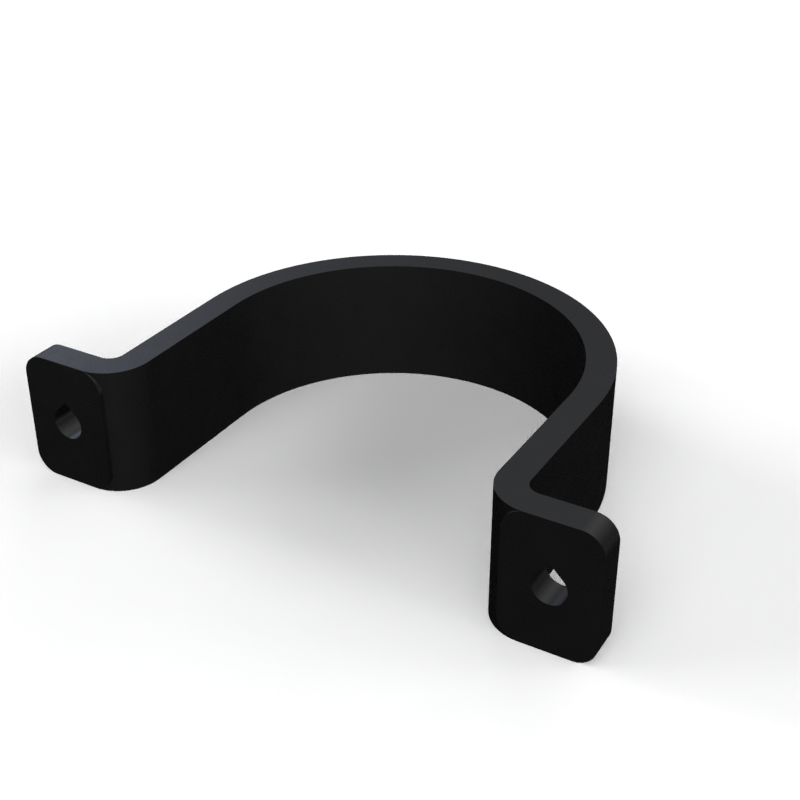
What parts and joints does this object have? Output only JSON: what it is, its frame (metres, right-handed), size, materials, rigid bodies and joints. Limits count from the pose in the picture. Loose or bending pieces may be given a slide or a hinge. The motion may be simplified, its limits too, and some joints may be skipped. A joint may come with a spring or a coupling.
{
  "type": "omega pipe clamp",
  "caption": "Black omega-shaped pipe clamp: a half-round saddle with straight legs and outward feet, each with rounded corners and a teardrop screw hole, for fixing a pipe to a wall.",
  "frame": {"origin": "on the pipe's axis, at the strap's lower edge, which the clamp stands on", "axes": "+Z along the pipe's axis, across the strap's width; +X from the left foot to the right foot, seen from the wall side; +Y from the feet's mounting faces towards the crown of the saddle"},
  "size_m": [0.082, 0.0545, 0.018],
  "materials": {
    "strap": "smooth black plastic with a low, even sheen"
  },
  "bodies": {
    "root": {"strap": "strap"}
  },
  "joints": []
}
